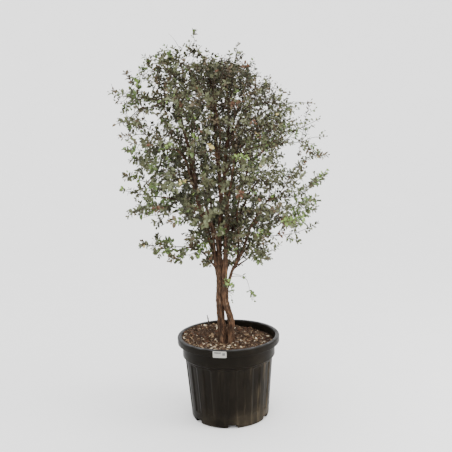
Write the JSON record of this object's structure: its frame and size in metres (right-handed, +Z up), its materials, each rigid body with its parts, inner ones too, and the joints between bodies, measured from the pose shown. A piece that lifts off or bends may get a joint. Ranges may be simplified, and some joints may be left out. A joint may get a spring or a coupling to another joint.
{
  "type": "potted multi-stem evergreen shrub",
  "caption": "Airy small-leaved evergreen shrub on twisting reddish-brown stems, standing in a black fluted nursery pot filled with bark mulch.",
  "frame": {"origin": "middle of the flat underside of the pot, on the surface that it stands on", "axes": "+Z straight up along the pot's axis, -Y towards the front, where the label is, +X to the right seen from the front"},
  "size_m": [0.9972, 0.8908, 1.8623],
  "materials": {
    "pot_plastic": "satin",
    "label_stock": "satin",
    "potting_mix": "matte",
    "stem_bark": "matte",
    "bough_bark": "matte",
    "foliage": "matte"
  },
  "bodies": {
    "root": {"bough_back": "bough_bark", "bough_back_right": "bough_bark", "bough_centre": "bough_bark", "bough_front": "bough_bark", "bough_front_left": "bough_bark", "bough_left_low": "bough_bark", "bough_left_tall": "bough_bark", "bough_low_back": "bough_bark", "bough_low_left": "bough_bark", "bough_low_right": "bough_bark", "bough_right": "bough_bark", "bough_right_tall": "bough_bark", "bough_right_upright": "bough_bark", "bough_top_back_left": "bough_bark", "bough_top_back_right": "bough_bark", "bough_top_front": "bough_bark", "bough_top_right": "bough_bark", "bough_upper_back": "bough_bark", "bough_upper_back_left": "bough_bark", "bough_upper_front_left": "bough_bark", "label": "label_stock", "limb_right": "bough_bark", "mass_fourth_back_left": "foliage", "mass_fourth_back_right": "foliage", "mass_fourth_front": "foliage", "mass_fourth_left": "foliage", "mass_fourth_right": "foliage", "mass_low_back": "foliage", "mass_low_left": "foliage", "mass_low_right": "foliage", "mass_second_back_left": "foliage", "mass_second_back_right": "foliage", "mass_second_front_left": "foliage", "mass_second_left": "foliage", "mass_second_right": "foliage", "mass_third_back": "foliage", "mass_third_back_left": "foliage", "mass_third_front": "foliage", "mass_third_front_left": "foliage", "mass_third_right": "foliage", "mass_top": "foliage", "mass_top_left": "foliage", "pot": "pot_plastic", "soil": "potting_mix", "stem_left": "stem_bark", "stem_right": "stem_bark"}
  },
  "joints": []
}
